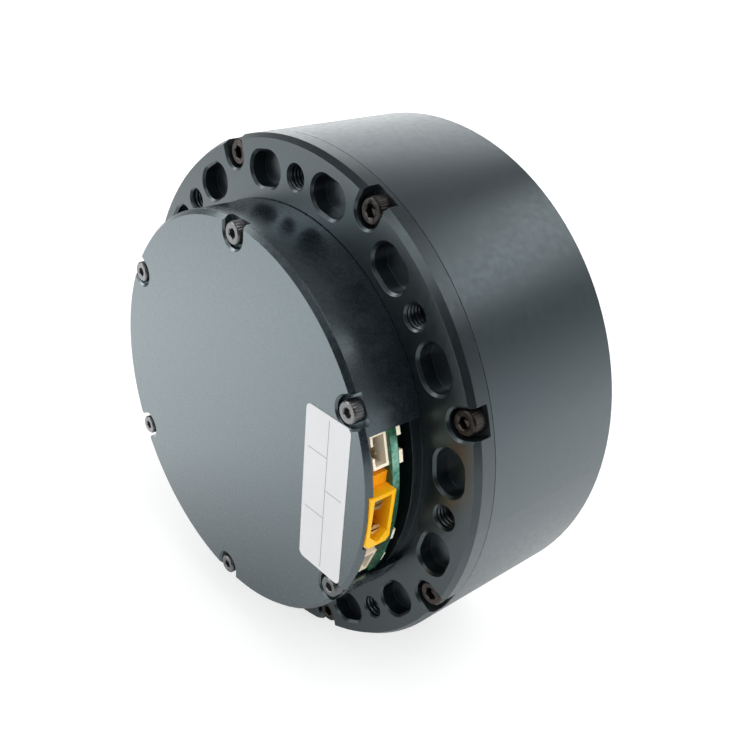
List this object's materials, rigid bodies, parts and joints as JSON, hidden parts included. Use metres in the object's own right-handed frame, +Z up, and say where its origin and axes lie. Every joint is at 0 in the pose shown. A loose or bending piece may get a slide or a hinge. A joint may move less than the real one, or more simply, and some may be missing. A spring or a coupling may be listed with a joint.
{
  "type": "robot joint actuator",
  "caption": "Flat round robot joint actuator: an outrunner motor and planetary stage in a black flanged housing, with a drive board and sockets under a notched rear cap.",
  "frame": {"origin": "centre of the rear mounting flange face, on the output axis", "axes": "+Y along the output axis from the rear flange towards the output face, +X towards the connector window, +Z up"},
  "size_m": [0.096, 0.0484, 0.096],
  "materials": {
    "black_anodised": "satin black anodised",
    "output_metal": "turned, clear anodised",
    "screw_steel": "dark oxide with worn edges",
    "bright_screw": "plain steel",
    "gear_steel": "ground",
    "bearing_steel": "polished",
    "yoke_steel": "turned",
    "lamination_steel": "stacked sheet",
    "magnet_nickel": "nickel plated",
    "enamel_copper": "enamelled wire",
    "lead_sleeve": "satin",
    "board_green": "solder mask",
    "chip_black": "moulded epoxy",
    "spacer_brass": "turned",
    "connector_yellow": "moulded nylon",
    "connector_ivory": "moulded nylon",
    "contact_gold": "gold flashed",
    "contact_tin": "tinned",
    "seal_rubber": "matt"
  },
  "bodies": {
    "housing": {"motor_housing": "black_anodised", "rear_housing": "black_anodised", "flange_screws": "screw_steel", "rear_cap": "black_anodised", "cap_screws": "screw_steel", "driver_board": "board_green", "board_chips": "chip_black", "board_standoffs": "spacer_brass", "board_screws": "bright_screw", "power_connector": "connector_yellow", "power_pins": "contact_gold", "signal_connectors": "connector_ivory", "signal_pins": "contact_tin", "connector_anchors": "connector_ivory", "stator_core": "lamination_steel", "stator_windings": "enamel_copper", "phase_leads": "lead_sleeve", "ring_gear": "gear_steel", "output_bearing_outer": "bearing_steel", "output_bearing_balls": "bearing_steel", "bearing_retainer": "black_anodised", "retainer_screws": "screw_steel", "output_seal": "seal_rubber", "rear_bearing_outer": "bearing_steel"},
    "rotor": {"rotor_shaft": "gear_steel", "rotor_hub": "output_metal", "rotor_yoke": "yoke_steel", "rotor_magnets": "magnet_nickel", "encoder_magnet": "magnet_nickel", "sun_gear": "gear_steel", "rear_bearing_inner": "bearing_steel", "pilot_bearing_inner": "bearing_steel"},
    "output": {"planet_pins": "gear_steel", "carrier_plate": "output_metal", "carrier_screws": "screw_steel", "output_flange": "output_metal", "output_bearing_inner": "bearing_steel", "snap_ring": "yoke_steel", "pilot_bearing_outer": "bearing_steel"},
    "planet_1": {"planet_gear_1": "gear_steel", "planet_bush_1": "spacer_brass"},
    "planet_2": {"planet_gear_2": "gear_steel", "planet_bush_2": "spacer_brass"},
    "planet_3": {"planet_gear_3": "gear_steel", "planet_bush_3": "spacer_brass"}
  },
  "joints": [
    {"name": "output_spin", "type": "hinge", "parent": "housing", "child": "output", "pos_m": [0, 0.0285, 0], "axis": [0, 1, 0], "continuous": true},
    {"name": "rotor_spin", "type": "hinge", "parent": "housing", "child": "rotor", "pos_m": [0, 0.008, 0], "axis": [0, 1, 0], "continuous": true},
    {"name": "planet_1_spin", "type": "hinge", "parent": "output", "child": "planet_1", "pos_m": [0, 0.0175, 0.0144], "axis": [0, 1, 0], "continuous": true},
    {"name": "planet_2_spin", "type": "hinge", "parent": "output", "child": "planet_2", "pos_m": [-0.01247, 0.0175, -0.0072], "axis": [0, 1, 0], "continuous": true},
    {"name": "planet_3_spin", "type": "hinge", "parent": "output", "child": "planet_3", "pos_m": [0.01247, 0.0175, -0.0072], "axis": [0, 1, 0], "continuous": true}
  ],
  "couplings": [
    {"joint": "rotor_spin", "follows": "output_spin", "ratio": 6},
    {"joint": "planet_1_spin", "follows": "output_spin", "ratio": -2.5},
    {"joint": "planet_2_spin", "follows": "output_spin", "ratio": -2.5},
    {"joint": "planet_3_spin", "follows": "output_spin", "ratio": -2.5}
  ]
}
